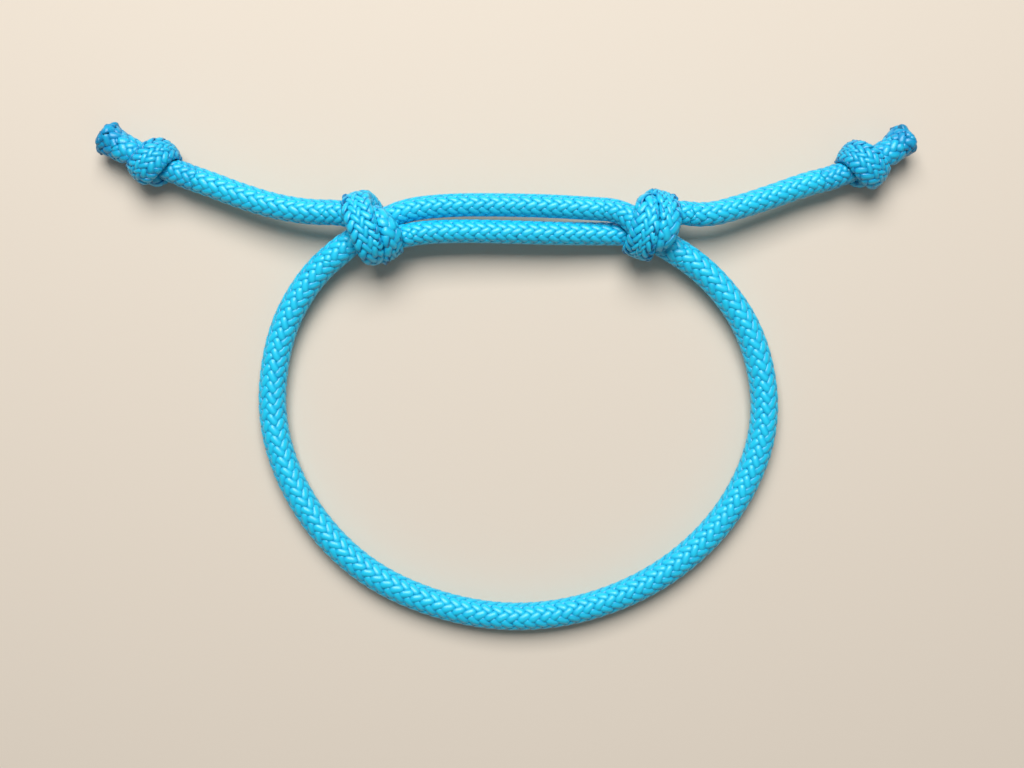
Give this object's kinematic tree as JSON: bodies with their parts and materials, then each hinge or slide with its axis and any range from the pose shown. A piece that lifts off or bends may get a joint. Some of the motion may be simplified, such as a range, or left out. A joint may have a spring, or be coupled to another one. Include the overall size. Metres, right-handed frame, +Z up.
{
  "type": "sliding knot bracelet",
  "caption": "Braided cord wrist loop whose two ends are tied round each other as sliding knots, with short tails, stopper knots and melted cord ends.",
  "frame": {"origin": "middle of the bounding box, on the flat surface that the bracelet lies on", "axes": "+X the long way of the bracelet, from the left cord end to the right one; +Y from the wrist loop's far side to the sliding knots; +Z up"},
  "size_m": [0.1173, 0.0728, 0.0094],
  "materials": {
    "braided_nylon": "satin",
    "melted_nylon": "satin"
  },
  "bodies": {
    "root": {"left_cord_end": "melted_nylon", "left_stopper_knot": "braided_nylon", "left_tail": "braided_nylon", "left_sliding_knot": "braided_nylon", "lower_strand": "braided_nylon", "wrist_loop": "braided_nylon", "upper_strand": "braided_nylon", "right_sliding_knot": "braided_nylon", "right_tail": "braided_nylon", "right_stopper_knot": "braided_nylon", "right_cord_end": "melted_nylon"}
  },
  "joints": []
}
